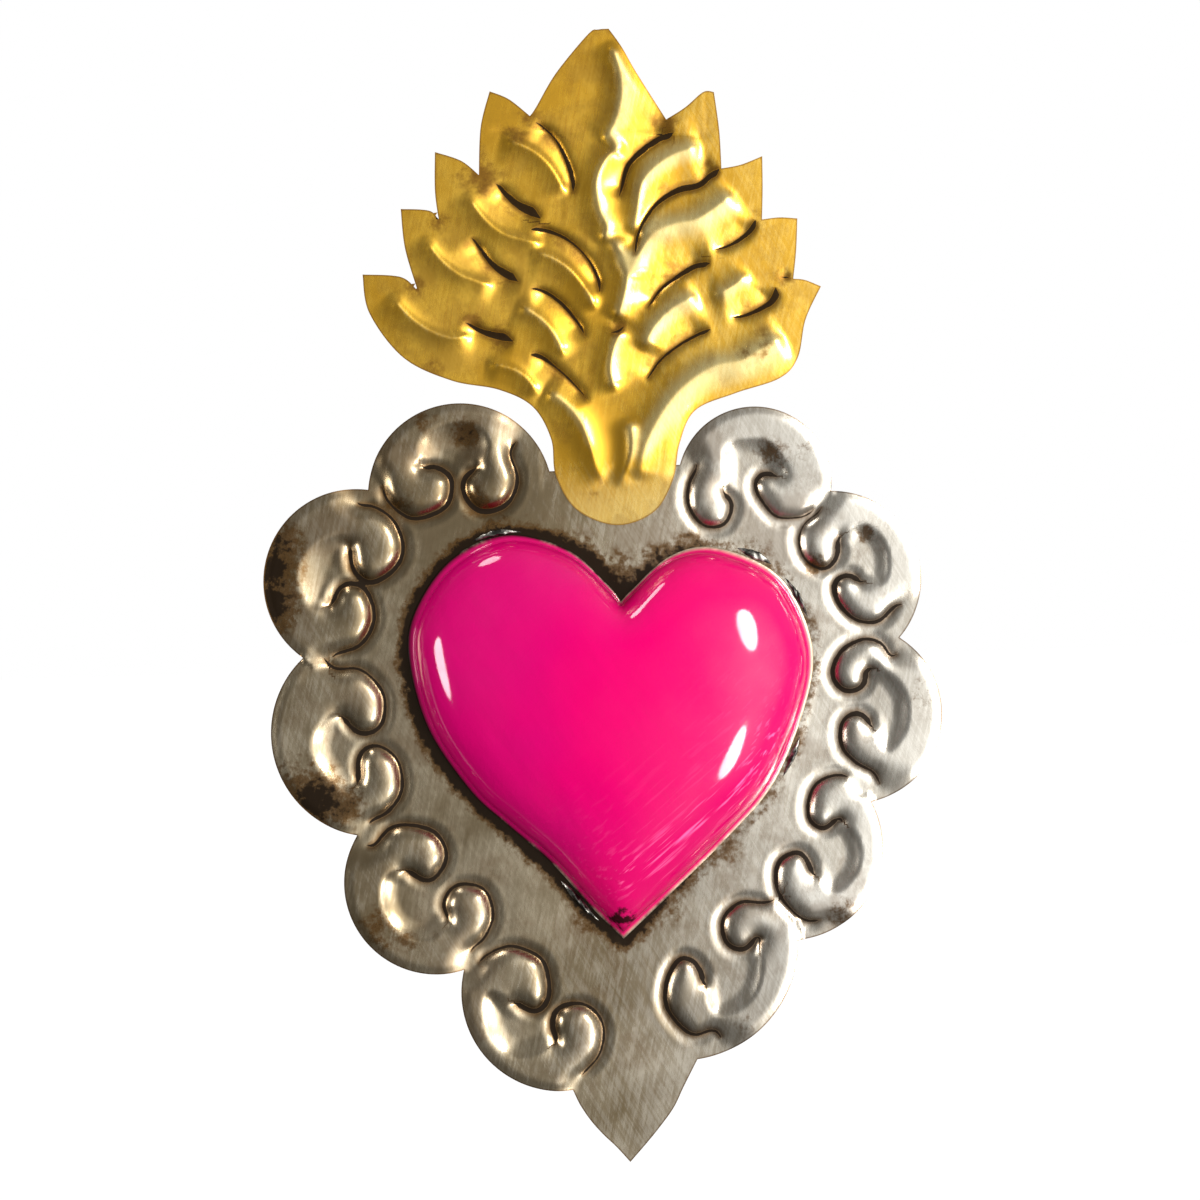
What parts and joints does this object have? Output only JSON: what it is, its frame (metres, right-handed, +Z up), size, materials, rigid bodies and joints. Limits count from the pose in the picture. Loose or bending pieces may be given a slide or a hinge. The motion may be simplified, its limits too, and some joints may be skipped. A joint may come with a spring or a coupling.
{
  "type": "tin ex-voto plaque",
  "caption": "Wall plaque of embossed tin: a scalloped grey heart with pressed scrolls, a gold flame above it, a domed magenta heart in its middle and a hanging strap behind.",
  "frame": {"origin": "middle of the hanging strap's outer face, where it meets the wall", "axes": "+Z up along the plaque, +X to the right as seen from the front, +Y into the wall, so the front faces -Y"},
  "size_m": [0.1279, 0.0189, 0.215],
  "materials": {
    "grey_tin": "brushed, with brown-black patina in the chased lines",
    "gold_tin": "gold lacquer over tin, brown patina in the chased lines",
    "magenta_enamel": "high gloss",
    "solder": "bright, lumpy"
  },
  "bodies": {
    "root": {"back_plate": "grey_tin", "flame_crest": "gold_tin", "heart_dome": "magenta_enamel", "hanger_strap": "grey_tin", "strap_solder_left": "solder", "strap_solder_right": "solder", "flame_solder_left": "solder", "flame_solder_right": "solder", "heart_solder_upper_left": "solder", "heart_solder_upper_right": "solder", "heart_solder_right": "solder", "heart_solder_lower_right": "solder", "heart_solder_tip": "solder"}
  },
  "joints": []
}
